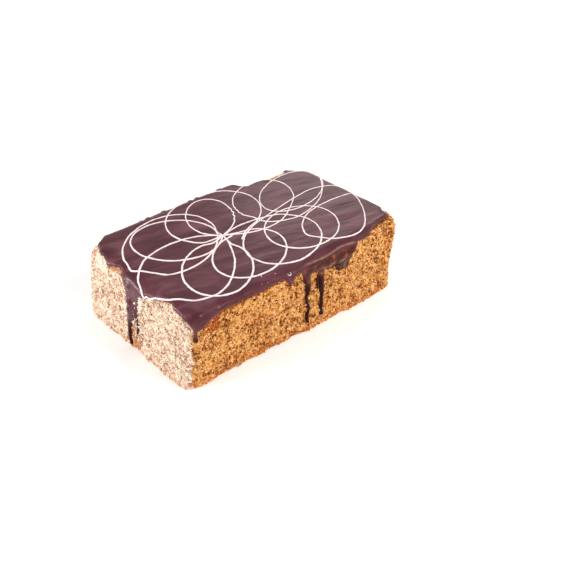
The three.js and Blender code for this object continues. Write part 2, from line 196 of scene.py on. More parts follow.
# %% How the sides swell and lean
def swell(u, z):
    """Hand-spread sides swell in and out by about a millimetre."""
    turn_round = 2 * np.pi * u / AROUND
    return (
        0.5 * np.sin(5 * turn_round + z / 19 + 1.1)
        + 0.4 * np.sin(13 * turn_round - z / 13)
        + 0.3 * np.sin(29 * turn_round + z / 7 + 2.0)
    )


def inset(u, height):
    """How far in the side has come at this share of the height."""
    u = np.mod(u, AROUND)
    _, _, nx, ny = rim(u)
    lean = nx**2 * np.where(nx > 0, LEAN["right"], LEAN["left"])
    lean = lean + ny**2 * np.where(ny > 0, LEAN["back"], LEAN["front"])
    total = lean * height
    for start, end, deep, over, low, high in DENTS:
        within = ease(u, start, start + over) * (1 - ease(u, end - over, end))
        total = total + deep * within * ease(height, low, high)
    return total


def room_inside(u):
    """How far in a corner may come before its columns meet at the middle of its arc."""
    room = np.full(np.shape(u), MOST_ROOM)
    for corner, radius, *_ in CORNERS:
        past = np.maximum(np.abs(across_to(u, corner)) - radius, 0)
        room = np.minimum(room, radius - ROOM_KEPT + ROOM_GROWS * past)
    return room


print("the front leans in by", inset(np.array([front(0)]), 1.0).round(2), "mm at the top")


# %% From the surface to places in the room
def settle(x, y, z):
    """Turns the foot under the top, as on the real cake, and centres the whole."""
    angle = FOOT_TURN * (1 - z / CAKE_HEIGHT)
    c, s = np.cos(angle), np.sin(angle)
    return np.stack([CENTRE[0] + x * c - y * s, CENTRE[1] + x * s + y * c, z + 0 * x], axis=-1)


def on_cake(u, run, proud=0.0):
    """The place in millimetres of a point of the surface, or of one that stands proud of it."""
    u, run, proud = np.broadcast_arrays(*(np.asarray(v, float) for v in (u, run, proud)))
    x, y, nx, ny = rim(u)
    tilt = np.clip(run, 0, EDGE_RUN) / EDGE_ROUND
    into = EDGE_ROUND - (EDGE_ROUND + proud) * np.sin(tilt) - np.minimum(run, 0)
    z = CAKE_HEIGHT - EDGE_ROUND + (EDGE_ROUND + proud) * np.cos(tilt) - np.maximum(run - EDGE_RUN, 0)
    into = into + FOOT_TUCK * np.clip(1 - z / FOOT_ROUND, 0, 1) ** 2
    into = into + inset(u, z / CAKE_HEIGHT) - swell(u, z) * ease(run, 0, EDGE_RUN)
    into = np.minimum(into, room_inside(u))
    return settle(x - nx * into, y - ny * into, z)


def towards_ridge(u, share, z, run=0.0):
    """On a level face: share 1 is the edge at that run, and 0 is the line along the cake's middle."""
    edge = on_cake(u, run)
    half = LENGTH / 2 - WIDTH / 2
    ridge_x = np.clip(edge[..., 0], -half, half)
    x = ridge_x + (edge[..., 0] - ridge_x) * share
    y = CENTRE[1] + (edge[..., 1] - CENTRE[1]) * share
    return np.stack([x, y, z + 0 * x], axis=-1)


print("one point of the front edge", on_cake(front(0), EDGE_RUN).round(2))

# %% [markdown]
# ## One grid, wrapped round the cake
#
# A skin that goes all the way round is easiest as a plain grid whose columns are places `u` and
# whose rows go down from the middle of the top. `create_grid` makes it flat, every vertex is moved
# to its place on the cake, and merging doubles closes the seam and the ridge in the middle.


# %% Wrap a grid
def gathered(columns, near, spread, more):
    """Places round the cake that stand closer together near the given ones."""
    fine = np.arange(0, AROUND, 0.5)
    density = np.ones(len(fine))
    for place in near:
        density += more * np.exp(-((across_to(fine, place) / spread) ** 2))
    passed = np.concatenate([[0], np.cumsum(density)])
    return np.interp(np.linspace(0, passed[-1], columns + 1), passed, np.append(fine, AROUND))


def wrapped_grid(places_round, rows):
    """A flat grid, and for each of its vertices the place round the cake and the row."""
    columns = len(places_round) - 1
    bm = bmesh.new()
    bmesh.ops.create_grid(bm, x_segments=columns, y_segments=rows - 1, size=0.5)
    flat = np.array([v.co for v in bm.verts])
    column = np.rint((flat[:, 0] + 0.5) * columns).astype(int)
    row = np.rint((0.5 - flat[:, 1]) * (rows - 1)).astype(int)
    return bm, places_round[column], row


# %% Put a grid in place, and make an object of it
INSIDE_BOX = 0.05
ROOM_LOW = np.array(cad_low) / MM + [INSIDE_BOX, INSIDE_BOX, 0]
ROOM_HIGH = np.array(cad_high) / MM - INSIDE_BOX
MERGE_WITHIN = 0.02 * MM


def put(bm, places):
    """Moves the vertices to places in millimetres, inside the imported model's box."""
    for vertex, place in zip(bm.verts, np.clip(places, ROOM_LOW, ROOM_HIGH) * MM):
        vertex.co = place


def soft_noise(places, size, seed=0.0):
    """Smooth noise, about -1 to 1, whose lumps are size millimetres across."""
    return np.array([noise.noise(place) for place in (places / size + seed).tolist()])


def keep_on_vertices(bm, name, amounts):
    """Stores one number at each vertex, which a material can read by its name."""
    layer = bm.verts.layers.float.new(name)
    for vertex, amount in zip(bm.verts, amounts):
        vertex[layer] = amount


def mesh_object(name, bm):
    """A smooth object from a bmesh, its faces turned outwards."""
    bmesh.ops.recalc_face_normals(bm, faces=bm.faces)
    for face in bm.faces:
        face.smooth = True
    mesh = bpy.data.meshes.new(name)
    bm.to_mesh(mesh)
    bm.free()
    print(name, "has", len(mesh.polygons), "faces")
    return stand(name, mesh)


print("pieces keep within", ROOM_LOW.round(2), "to", ROOM_HIGH.round(2), "mm")

# %% [markdown]
# ## How deep the icing lies
#
# Poured chocolate ends in a rounded lip, gathers into drips and folds where it was pushed. All of
# that can be said by one number at each place of the surface: how deep the icing is there. Where
# the number falls below nothing, the crumbs show. Depths that meet are joined by a smooth maximum,
# so a drip flows out of the lip as it does in the real thing.

# %% Where the icing ends
# By side: places along it, and how far over the edge the icing runs at each, in millimetres.
REACH = {
    front: [
        (-100, 15), (-96.5, 16.5), (-92, 12.5), (-86, 10.8), (-72, 8), (-42, 8.2), (-21, 8),
        (-15, 14.5), (-11, 10.5), (-5, 8.4), (1, 12.5), (8, 12.6), (14, 15), (24, 14.8), (29, 17),
        (36, 24), (43, 25), (48.5, 12), (56, 7.8), (64, 7.2), (74, 3.8), (84, 2.3), (97, 1.2),
    ],
    right: [
        (-53, 1.5), (-42, 6), (-14, 10), (8, 8), (30, 13), (46, 7),
    ],
    back: [
        (92, 5), (82, 0.5), (66, 0.5), (56, 6), (32, 13), (10, 8), (-16, 11), (-38, 8), (-60, 14),
        (-80, 9), (-92, 5),
    ],
    left: [
        (52, 6), (46, 6.2), (40, 5.4), (36, 6.8), (31, 9.2), (24, 7.6), (18, 5.6), (14.5, 6),
        (10, 12), (-4, 16), (-14, 13), (-21, 10.5), (-30, 6.9), (-38, 5.1), (-45, 7.4), (-53, 7.8),
        (-61, 9.5),
    ],
}


def reach(u):
    """How far over the edge the icing runs at u, eased between the stated places."""
    u = np.mod(u, AROUND)
    stops = [(side(place) % AROUND, far) for side, stops in REACH.items() for place, far in stops]
    stated = np.array(sorted(stops))
    stated = np.vstack([stated[-1] - [AROUND, 0], stated, stated[0] + [AROUND, 0]])
    after = np.searchsorted(stated[:, 0], u, side="right")
    before = stated[after - 1]
    after = stated[after]
    share = ease(u, before[:, 0], after[:, 0])
    return before[:, 1] + (after[:, 1] - before[:, 1]) * share


def along(side, *stops):
    """A drip's course, a point every half millimetre, from stops of (place, run, width, depth)."""
    stops = [(side(place), *rest) for place, *rest in stops]
    course = []
    for start, end in zip(stops, stops[1:]):
        start, end = np.array(start, float), np.array(end, float)
        steps = max(1, round(math.dist(start[:2], end[:2]) / 0.5))
        course += [start + (end - start) * k / steps for k in range(steps)]
    return np.array([*course, stops[-1]])


def wandering(u, lean, start, end, width, depth, sway, turns):
    """A plain drip from start to end that narrows, sways and ends in a bulb."""
    share = np.linspace(0, 1, 60)
    narrow = width * (1 - 0.4 * np.minimum(1, 2.5 * share)) * (1 + 0.12 * np.sin(9 * share + u))
    bulb = 1 + 0.35 * np.exp(-(((share - 0.97) / 0.05) ** 2))
    across = u + lean * share + sway * np.sin(2 * np.pi * turns * share)
    return np.stack([across, start + (end - start) * share, narrow * bulb, depth * bulb], axis=1)


# The drips on the front and left have the real ones' courses. The last five, on sides out of sight,
# are made up.
FRONT_DRIPS = [
    along(front, (0, 9, 6.5, 2.4), (1, 13, 5.6, 2.5), (2.5, 18, 5.2, 2.5), (4.3, 23.5, 4.6, 2.4),
          (4.6, 29.5, 3.4, 2.2), (3.2, 33.5, 2.3, 2), (5, 39, 2.2, 1.9), (7.2, 45, 2.6, 2),
          (6, 49.5, 2.1, 1.9), (5.8, 53, 2.2, 1.9), (6.5, 56.5, 2.9, 2.2)),
    along(front, (16.5, 11, 8, 2.7), (17.6, 18, 5.6, 2.7), (18, 25, 4.8, 2.6),
          (18.2, 30, 4.2, 2.5), (19, 35, 3.4, 2.3), (18.6, 39, 2.6, 2),
          (19.2, 44.5, 2.3, 1.9), (19, 50.5, 2.2, 1.9), (20.6, 55.5, 3, 2.2)),
    along(front, (14, 22, 2, 1.4), (13.4, 26, 2.4, 1.5), (14.6, 30, 2, 1.2)),
]
BROAD_DRIP = along(left, (1.5, 6, 27, 1.9), (-0.5, 13, 23.5, 1.5), (-0.3, 20, 19, 1.3),
    (0.5, 28, 14.5, 1.9), (1.5, 34, 11.5, 2.4), (4, 41, 7, 2.5),
    (5, 48, 4.4, 2.3), (5, 57, 3.6, 2.1), (3.5, 63.5, 2.4, 1.8))
SIDE_RUN = along(left, (-2.5, 30, 5, 2.2), (-5.5, 38, 3.6, 2), (-6.5, 44, 3, 1.8),
    (-4.5, 51, 2.8, 1.7), (-4, 55.5, 1.8, 1.3))
FOLD = along(front, (-9, 6.5, 2, 2.2), (3, 9.5, 6, 3), (17, 11, 9, 3.5), (31, 12.5, 13, 3.7),
    (41, 14.5, 13, 3.6), (47, 11, 6, 3))
DRIPS = [
    *FRONT_DRIPS, BROAD_DRIP, SIDE_RUN, FOLD,
    wandering(front(-99), 0.5, 13, 24, 4, 2.2, 0, 1),
    wandering(right(-16), 2, 8, 34, 5.5, 2.6, 0.6, 1.2),
    wandering(right(30), -2, 10, 47, 6.5, 2.8, 0.9, 1.5),
    wandering(back(31), 2, 10, 52, 6, 2.7, 1, 1.8),
    wandering(back(-16), -2, 9, 30, 5, 2.5, 0.5, 1),
    wandering(back(-60), 2, 11, 43, 6.5, 2.8, 0.9, 1.4),
]
# Raised crags and sunk hollows: the place, the run, half the size along and down, and the height.
BUMPS_BY_SIDE = {
    back: [
        (37, 2, 3.6, 3, 0.7), (25, 5, 3.4, 2.6, 1), (2, 5, 3.6, 3, 1), (-5, 4, 3, 2.4, 0.8),
        (-30, 5, 3.2, 2.6, 0.9), (-46, 4.5, 3.6, 3, 1), (-52, 6, 3.2, 2.6, 0.8),
    ],
    left: [
        (3.2, 24.5, 3.6, 4.6, 1.5), (3.8, 31.5, 2.6, 3.6, 1.1), (4.5, 13, 3.6, 4, 1.2),
        (-4, 32, 2.4, 5, 0.6),
    ],
    front: [
        (29.5, 16.5, 2.2, 2.4, -3.4), (33, 18, 1.9, 3, -2.4), (35, 13.6, 4.6, 1.5, 0.9),
        (38.6, 19.5, 2.6, 4, 1.3), (44, 16.5, 2, 2.6, -1), (22, 9, 4, 1.2, -0.7),
        (9, 9.6, 5, 1.1, -0.6), (34, 9.4, 6, 1.3, -0.9), (46, 9.6, 3, 1.2, -0.8),
        (26, 12.4, 3, 1.2, 0.7), (17, 13, 3, 1.3, 0.5),
    ],
}
BUMPS = [(side(place), *rest) for side, rows in BUMPS_BY_SIDE.items() for place, *rest in rows]
print("icing has", len(DRIPS), "drips and", len(BUMPS), "crags and hollows")


# %% The depth itself
RAGGED = 0.6
LIP_ROUND = 1.8
# The lip swells a little: how much, how far in from the border, and over what width.
SWELL, SWELL_IN, SWELL_WIDTH = 0.35, 2.6, 1.4
NO_ICING = -4
# The fold's crest: its run, its half width, and the groove under it, as depth, how far down, width.
CREST_RUN, CREST_WIDTH = 6.3, 0.7
GROOVE, GROOVE_DOWN, GROOVE_WIDTH = 0.7, 1.6, 0.9
DRIP_REACHES = 45
DRIP_JOIN = 0.5


def past_crest(u, run, crest_run):
    """Millimetres below the wavy line of the fold's crest."""
    return run - crest_run - 0.5 * np.sin(u / 6)


def join(a, b, softness):
    """A smooth maximum."""
    return np.maximum(a, b) + np.maximum(softness - np.abs(a - b), 0) ** 2 / (4 * softness)


def icing_depth(u, run):
    """How deep the icing lies, in millimetres, and below nothing where the crumbs show."""
    places = on_cake(u, run)
    ragged = RAGGED * soft_noise(places, 2.6, 5.0) + RAGGED * soft_noise(places, 8.0, 2.0)
    inside = reach(u) + ragged - run
    lip = np.sqrt(1 - (1 - np.clip(inside / LIP_ROUND, 0, 1)) ** 2)
    depth = np.where(inside > 0, ICING * lip, np.maximum(inside, NO_ICING))
    depth = depth + SWELL * np.exp(-(((inside - SWELL_IN) / SWELL_WIDTH) ** 2))
    ridge = ease(u, front(-8), front(6)) * (1 - ease(u, front(48), front(56)))
    crest = past_crest(u, run, CREST_RUN)
    groove = GROOVE * np.exp(-(((crest - GROOVE_DOWN) / GROOVE_WIDTH) ** 2))
    depth = depth + ridge * (np.exp(-((crest / CREST_WIDTH) ** 2)) - groove)
    for course in DRIPS:
        near = np.abs(across_to(u, course[:, 0].mean())) < DRIP_REACHES
        near &= (run > course[:, 1].min() - 16) & (run < course[:, 1].max() + 6)
        index = np.flatnonzero(near)
        best = np.full(len(index), float(NO_ICING))
        for place, down, width, deep in course:
            share = np.hypot(across_to(u[index], place), run[index] - down) / (width / 2)
            domed = deep * np.sqrt(np.clip(1 - share**2, 0, 1))
            best = np.maximum(best, np.where(share < 1, domed, (1 - share) * width / 2))
        depth[index] = join(depth[index], best, DRIP_JOIN)
    for place, down, long, tall, height in BUMPS:
        away = np.hypot(across_to(u, place) / long, (run - down) / tall)
        near = np.flatnonzero(away < 1)
        rough = 1 + 0.4 * soft_noise(places[near], 1.7, 9.0) * (height > 0)
        depth[near] += height * (1 - away[near] ** 2) ** 2 * rough
    return depth


down_the_front = icing_depth(np.full(3, front(0)), np.array([2.0, 30, 60]))
print("depth down the middle of the front", down_the_front.round(2), "mm")

# %% [markdown]
# ## The crumb-coated body
#
# The sides are cream with sponge crumbs pressed into it by hand. Up close that is a lumpy surface
# with grains lying on it at every angle. The lumps are relief in the body's mesh, and the grains
# are real ones laid on it later. The body is set in by half a millimetre, so that most of the
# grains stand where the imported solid's surface is.

# %% Body
SET_IN = 0.55
DEEPEST_PIT, HIGHEST_LUMP = -0.75, 0.5
UNDER_ROWS = np.linspace(0, 0.97, 10)
WALL_ROWS = np.linspace(WALL_RUN, FLAT_EDGE, 85)
TOP_ROWS = np.linspace(0.97, 0, 14)
body_values = np.concatenate([UNDER_ROWS, WALL_ROWS, TOP_ROWS])
UNDER, WALL, TOP = 0, 1, 2
body_kinds = np.repeat([UNDER, WALL, TOP], [len(UNDER_ROWS), len(WALL_ROWS), len(TOP_ROWS)])


def crumb_relief(places):
    """Lumps and pits of pressed crumbs, in millimetres."""
    pits = np.abs(soft_noise(places, 2.1, 3.0)) + 0.5 * np.abs(soft_noise(places, 1.1, 8.0))
    return 0.75 * soft_noise(places, 4.6) + 0.5 * soft_noise(places, 11.0, 7.0) + 1.3 * (0.3 - pits)


BODY_COLUMNS = 790
bm, u, row = wrapped_grid(AROUND * np.arange(BODY_COLUMNS + 1) / BODY_COLUMNS, len(body_values))
value, kind = body_values[row], body_kinds[row]
run = np.where(kind == WALL, value, 0)
relief = np.clip(crumb_relief(on_cake(u, run)), DEEPEST_PIT, HIGHEST_LUMP)
places = on_cake(u, run, -SET_IN + relief)
ridge = towards_ridge(u, 0.0, 0.0)
foot = on_cake(u, WALL_RUN, -SET_IN)
under = ridge + (foot - ridge) * value[:, None]
under[:, 2] = 0
over = towards_ridge(u, value, CAKE_HEIGHT - SET_IN, FLAT_EDGE)
places[kind == UNDER] = under[kind == UNDER]
places[kind == TOP] = over[kind == TOP]
put(bm, places)
keep_on_vertices(bm, "crumb_height", relief)
bmesh.ops.remove_doubles(bm, verts=bm.verts, dist=MERGE_WITHIN)
body = mesh_object("crumb_coat", bm)
print("the crumbs' relief runs from", relief.min().round(2), "to", relief.max().round(2), "mm")

# %% [markdown]
# ## The icing
#
# The icing is the same kind of grid, raised by its depth. Vertices that fall below the crumbs are
# deleted, which leaves the outline of the lip and the drips, and the hole underneath is closed by
# a cone of faces inside the cake, where nobody sees them.

# %% Spatula waves on the top
STROKE_WAY = math.radians(-12)


def spatula_waves(x, y):
    """Low waves, long along the strokes of the spatula and short across them, in millimetres."""
    c, s = math.cos(STROKE_WAY), math.sin(STROKE_WAY)
    along_stroke, across_stroke = x * c + y * s, -x * s + y * c
    points = np.stack([along_stroke / 5, across_stroke, 0 * along_stroke], axis=-1)
    waves = 0.24 * soft_noise(points, 8.0, 4.0) + 0.1 * soft_noise(points, 3.2, 6.0)
    return np.clip(waves, -0.32, 0.24)


print("two heights of the waves", spatula_waves(np.zeros(2), np.array([0, 40])).round(2), "mm")

# %% Raise the icing
FLAT_ROWS = np.linspace(0, 0.985, 54)
SIDE_ROWS = [np.arange(FLAT_EDGE, 3, 0.6), np.arange(3, 23, 0.36), np.arange(23, 66.4, 0.62)]
SIDE_ROWS = np.concatenate(SIDE_ROWS)
ICING_ROWS = np.concatenate([FLAT_ROWS, SIDE_ROWS])
UNDER_CRUMBS, BURIED, DEEPEST_ICING = -0.9, -0.85, 6
FINE_AT = [front(2), front(6), front(18.5), front(30), front(40), left(1), left(6), left(-6)]

bm, u, row = wrapped_grid(gathered(960, FINE_AT, 6.0, 1.2), len(ICING_ROWS))
value = ICING_ROWS[row]
flat = row < len(FLAT_ROWS)
run = np.where(flat, FLAT_EDGE, value)
depth = np.full(len(u), ICING)
depth[~flat] = icing_depth(u[~flat], run[~flat])
places = on_cake(u, run, np.clip(depth, UNDER_CRUMBS, DEEPEST_ICING))
level = towards_ridge(u, value, CAKE_HEIGHT + ICING, FLAT_EDGE)
level[:, 2] += spatula_waves(level[:, 0], level[:, 1]) * (1 - ease(value, 0.78, 0.98))
places[flat] = level[flat]
put(bm, places)
print("icing is", depth[depth > 0].mean().round(2), "mm deep on average, at most", depth.max().round(2))

# %% Shades by place: brown in the folded band, tan along its crest (partly a thin crust, partly a painted highlight), and painted shade low in the thin drips
CREST_SHADE_RUN, CREST_SHADE_WIDTH = 6.2, 0.55
on_front = np.abs(across_to(u, front(0))) < LENGTH / 2
in_fold = ease(u, front(-14), front(4)) * (1 - ease(u, front(50), front(58)))
in_fold *= ease(run, 6, 10) * on_front
# Tan along the fold's crest: partly a thin crust, partly a painted highlight.
crest = np.exp(-((past_crest(u, run, CREST_SHADE_RUN) / CREST_SHADE_WIDTH) ** 2)) * on_front
crest *= ease(u, front(-6), front(6)) * (1 - ease(u, front(46), front(54)))
crest *= np.clip(0.75 + 0.7 * soft_noise(np.column_stack([u, 0 * u, 0 * u]), 3.5, 21.0), 0, 1)
# Tan on the fold's raised lumps: painted highlights.
for place, down, long, tall, height in BUMPS:
    if height > 0:
        lump = 1 - np.hypot(across_to(u, place) / long, (run - down) / tall)
        crest = np.maximum(crest, np.clip(0.8 * lump, 0, 1) * in_fold)
# Darker low down in the thin drips: painted shade.
shade_low_down = np.where(on_front, ease(run, 17, 25), ease(run, 33, 46))
shades = {"browned": in_fold, "crested": crest, "painted_drip_shade": shade_low_down}
for name, amounts in shades.items():
    keep_on_vertices(bm, name, amounts)
    print(name, "at", round(100 * np.mean(amounts > 0.5), 1), "% of the grid")

# %% Trim the icing to its outline, and close it inside the cake
CLOSES_AT = Vector((CENTRE[0], CENTRE[1], 45)) * MM
bm.verts.ensure_lookup_table()
buried = [bm.verts[i] for i in np.flatnonzero(depth < BURIED)]
bmesh.ops.delete(bm, geom=buried, context="VERTS")
bmesh.ops.remove_doubles(bm, verts=bm.verts, dist=MERGE_WITHIN)
bmesh.ops.delete(bm, geom=[v for v in bm.verts if not v.link_faces], context="VERTS")
open_edges = [e for e in bm.edges if e.is_boundary]
closing = bmesh.ops.extrude_edge_only(bm, edges=open_edges)["geom"]
tips = [v for v in closing if isinstance(v, bmesh.types.BMVert)]
for vertex in tips:
    vertex.co = CLOSES_AT
bmesh.ops.remove_doubles(bm, verts=tips, dist=MERGE_WITHIN)
icing = mesh_object("chocolate_glaze", bm)

# %% [markdown]
# ## The piped line
#
# White icing from a fine bag falls as a round thread a little over a millimetre thick and beds
# into the chocolate. The bag went round in loops that are nearly ellipses, mostly back to one
# knot, so each stroke is a few elliptical arcs and the odd place between them, in millimetres of
# the plan. A poly curve with a round bevel carries the thread, and its radius varies as it goes.


# %% Strokes
def arc(x, y, half, side, turn, start, end):
    """Places along an ellipse: its middle, its half axes, its turn, and from and to what angles."""
    angles = np.radians(np.linspace(start, end, max(3, round(abs(end - start) / 24) + 1)))
    p, q = half * np.cos(angles), side * np.sin(angles)
    c, s = math.cos(math.radians(turn)), math.sin(math.radians(turn))
    return list(zip(x + c * p - s * q, y + s * p + c * q))


KNOT = (-20.5, 0.5)
STROKES = [
    [(98.5, -17), (78, -14), (53, -16.5), (36, -25.5), (27, -39), (31.5, -49), (41, -59), (60, -62),
     (77, -52), (94.5, -29.5), (101.5, -8), (97, 2), (78.5, 9), (53.5, 6.5), (27.5, 1.5), (5, -4),
     *arc(9.5, -32, 36, 27.5, 25, 105, 375), (31, -3.5), (15, 1.5), (-3, 3.5), KNOT],
    [*arc(32.5, -28.5, 32.5, 27, 22, 70, 430)],
    [KNOT, *arc(-21.5, -30.5, 34.5, 25, 25, 52, -300), KNOT],
    [KNOT, *arc(-52, -31, 34.5, 25, 45, 15, 345), KNOT],
    [KNOT, (-37.5, 12.5), (-60.5, 16.5), (-82, 12.5), (-90.8, 6.6), (-96.3, 1.4), (-101.4, -4.5),
     (-104.2, -10.5), (-108.4, -15.8), (-108.8, -17), (-107.3, -18.3), (-107.5, -21.5), (-104, -27.5),
     (-100.1, -38), (-96, -43), (-87, -52.5), (-70, -55), (-53, -47), (-37, -32), (-26, -14), KNOT],
    [*arc(-56.5, 17, 43.5, 33, 29.5, -60, 132), (-96.6, 15.3), (-98.9, 8), (-98.8, 6.6), (-97.4, 4),
     (-93.1, -1.2), (-89, -7.5), *arc(-56.5, 17, 43.5, 33, 29.5, 207, 300)],
    [KNOT, *arc(-51, 18.5, 33, 28.5, 144, -165, 160), KNOT],
    [(-14, -13), *arc(-7, 27.5, 42.5, 33, 14, -95, 212), KNOT],
    [KNOT, *arc(-10, 28.5, 27.5, 18.5, 58, -129, 172), KNOT],
    [KNOT, (-7.5, -7.5), (1, -11), (16, -13), (32.5, -9.5), *arc(40, 23, 31.5, 23.5, 34, -85, 183),
     (16, -3.5), (25, -11.5), (43, -16), (65.5, -10.5), (84, 1), *arc(66, 17.5, 37, 22, 20.5, -25, 328)],
    [(-35.5, -57), (-37, -60)],
    [(-17.5, -66), (-16.4, -68), (-14.6, -67.6), (-14.9, -66)],
]
# One stretch, near the middle of the back, was piped with a shaking hand.
WOBBLE = {"x": 4, "y": 20, "within": 13, "sway": 0.9, "every": 5}


def through(points, step):
    """A smooth curve through the points (Catmull-Rom), cut to even steps."""
    points = np.array(points, float)
    ends = np.vstack([points[0], points, points[-1]])
    fine = []
    for a, b, c, d in zip(ends, ends[1:], ends[2:], ends[3:]):
        t = np.linspace(0, 1, 40, endpoint=False)[:, None]
        square, cube = 2 * a - 5 * b + 4 * c - d, 3 * b - a - 3 * c + d
        fine.append(0.5 * (2 * b + (c - a) * t + square * t**2 + cube * t**3))
    fine = np.vstack([*fine, points[-1:]])
    length = np.concatenate([[0], np.cumsum(np.hypot(*np.diff(fine, axis=0).T))])
    even = np.linspace(0, length[-1], max(3, round(length[-1] / step) + 1))
    return np.stack([np.interp(even, length, fine[:, k]) for k in (0, 1)], axis=1), length[-1]


def past_flat(x, y):
    """How far a place of the plan lies outside the flat of the top, and its place round the cake."""
    u = np.zeros_like(x)
    for corner, radius, sx, sy, start in CORNERS:
        px, py = sx * x - (LENGTH / 2 - radius), sy * y - (WIDTH / 2 - radius)
        beside = np.where(px > py, left(y) if sx < 0 else right(y), front(x) if sy < 0 else back(x))
        angle = np.degrees(np.arctan2(sy * py, sx * px))
        rounded = corner + radius * (2 * np.mod(angle - start, 360) / 90 - 1)
        here = (sx * x >= 0) & (sy * y >= 0)
        u = np.where(here, np.where((px > 0) & (py > 0), rounded, beside), u)
    edge_x, edge_y, nx, ny = rim(u)
    return (x - edge_x) * nx + (y - edge_y) * ny + EDGE_ROUND + inset(u, 1.0), u


def on_icing(x, y, proud=0.0):
    """Places on the icing, over the edge too, where the icing's own depth counts."""
    distance, u = past_flat(x, y)
    waves = spatula_waves(x, y) * ease(-distance, 4, 14)
    level = settle(x, y, CAKE_HEIGHT + ICING + proud + waves)
    run = np.where(distance < 0, distance, distance * EDGE_ROUND / (EDGE_ROUND + ICING))
    over = on_cake(u, run, np.maximum(icing_depth(u, run), 0) + proud)
    return np.where((distance > FLAT_EDGE)[:, None], over, level)


# %% Pipe it
LINE_RADIUS = 0.66
POINT_EVERY = 1.1
UNSTEADY = 0.3
# The thread is thicker where it was piped first, and far thinner in the two tiny strokes.
THINNEST, THICKER = 0.66, 0.42
TINY_STROKE, TINY_SHARE = 8, 0.36


def hand(plan, size, seed):
    """The small unsteadiness of a hand, about -1 to 1."""
    return soft_noise(np.column_stack([plan, np.zeros(len(plan))]), size, seed)


piped = bpy.data.curves.new("piped_line", "CURVE")
piped.dimensions = "3D"
piped.bevel_depth = LINE_RADIUS * MM
piped.bevel_resolution = 2
piped.use_fill_caps = True
total = 0
for number, stroke in enumerate(STROKES):
    plan, length = through(stroke, POINT_EVERY)
    total += length
    away = np.hypot(plan[:, 0] - WOBBLE["x"], plan[:, 1] - WOBBLE["y"]) / WOBBLE["within"]
    shaken = WOBBLE["sway"] * np.sin(2 * np.pi * plan[:, 1] / WOBBLE["every"])
    sway = np.maximum(0, 1 - away) * shaken
    x = plan[:, 0] + sway + UNSTEADY * hand(plan, 7, number)
    y = plan[:, 1] + UNSTEADY * hand(plan, 7, number + 50)
    places = on_icing(x, y, 0.02 + 0.05 * (number % 4))
    ends = np.minimum(1, 0.5 + 0.25 * np.minimum(np.arange(len(x)), np.arange(len(x))[::-1]))
    nearer = THINNEST + THICKER * ease(x * 0.66 + y * 0.75, 50, -60)
    fine = TINY_SHARE if length < TINY_STROKE else 1
    radii = ends * nearer * fine * (1 + 0.35 * hand(plan, 2.8, number))
    spline = piped.splines.new("POLY")
    spline.points.add(len(x) - 1)
    for point, place, radius in zip(spline.points, places * MM, radii):
        point.co = (*place, 1)
        point.radius = radius
tube = stand("piped_line_curve", piped)
line_mesh = bpy.data.meshes.new_from_object(tube.evaluated_get(bpy.context.evaluated_depsgraph_get()))
bpy.data.objects.remove(tube)
line = stand("piped_white_line", line_mesh)
for vertex in line_mesh.vertices:
    vertex.co = np.clip(np.array(vertex.co) / MM, ROOM_LOW, ROOM_HIGH) * MM
for polygon in line_mesh.polygons:
    polygon.use_smooth = True
print("piped", round(total), "mm of line,", len(line_mesh.polygons), "faces")

# %% [markdown]
# ## Loose grains
#
# The crumbs are what the eye reads first. Each is the convex hull of a few jittered points, which
# gives the angular look of a broken sponge crumb for a dozen triangles. A few such shapes are
# made, then copied to random places on the wall, turned at random and joined into one mesh for
# each colour of crumb. Real crumbs here are mostly under a millimetre and a half, and those would
# blur together in the picture, so they are drawn a little coarse, up to three millimetres.

# %% Shapes of grain
rng = np.random.default_rng(11)


def grain_shape():
    """The points and triangles of one crumb, about two across."""
    bm = bmesh.new()
    for _ in range(8):
        way = Vector(rng.normal(size=3)).normalized()
        bm.verts.new(way * rng.uniform(0.75, 1.1))
    hull = bmesh.ops.convex_hull(bm, input=bm.verts)
    inner = [v for v in hull["geom_interior"] if isinstance(v, bmesh.types.BMVert)]
    bmesh.ops.delete(bm, geom=inner, context="VERTS")
    bmesh.ops.triangulate(bm, faces=bm.faces)
    bmesh.ops.recalc_face_normals(bm, faces=bm.faces)
    bm.verts.index_update()
    points = np.array([v.co for v in bm.verts])
    faces = np.array([[v.index for v in f.verts] for f in bm.faces])
    bm.free()
    return points, faces


SHAPES = [grain_shape() for _ in range(16)]
print("grains have", min(len(f) for _, f in SHAPES), "to", max(len(f) for _, f in SHAPES), "faces")


# %% Scatter
def random_turns(count):
    """Random rotations, from random unit quaternions."""
    w, x, y, z = rng.normal(size=(4, count))
    size = np.sqrt(w * w + x * x + y * y + z * z)
    w, x, y, z = np.array([w, x, y, z]) / size
    return np.stack([
        np.stack([1 - 2 * (y * y + z * z), 2 * (x * y - z * w), 2 * (x * z + y * w)], -1),
        np.stack([2 * (x * y + z * w), 1 - 2 * (x * x + z * z), 2 * (y * z - x * w)], -1),
        np.stack([2 * (x * z - y * w), 2 * (y * z + x * w), 1 - 2 * (x * x + y * y)], -1),
    ], axis=1)


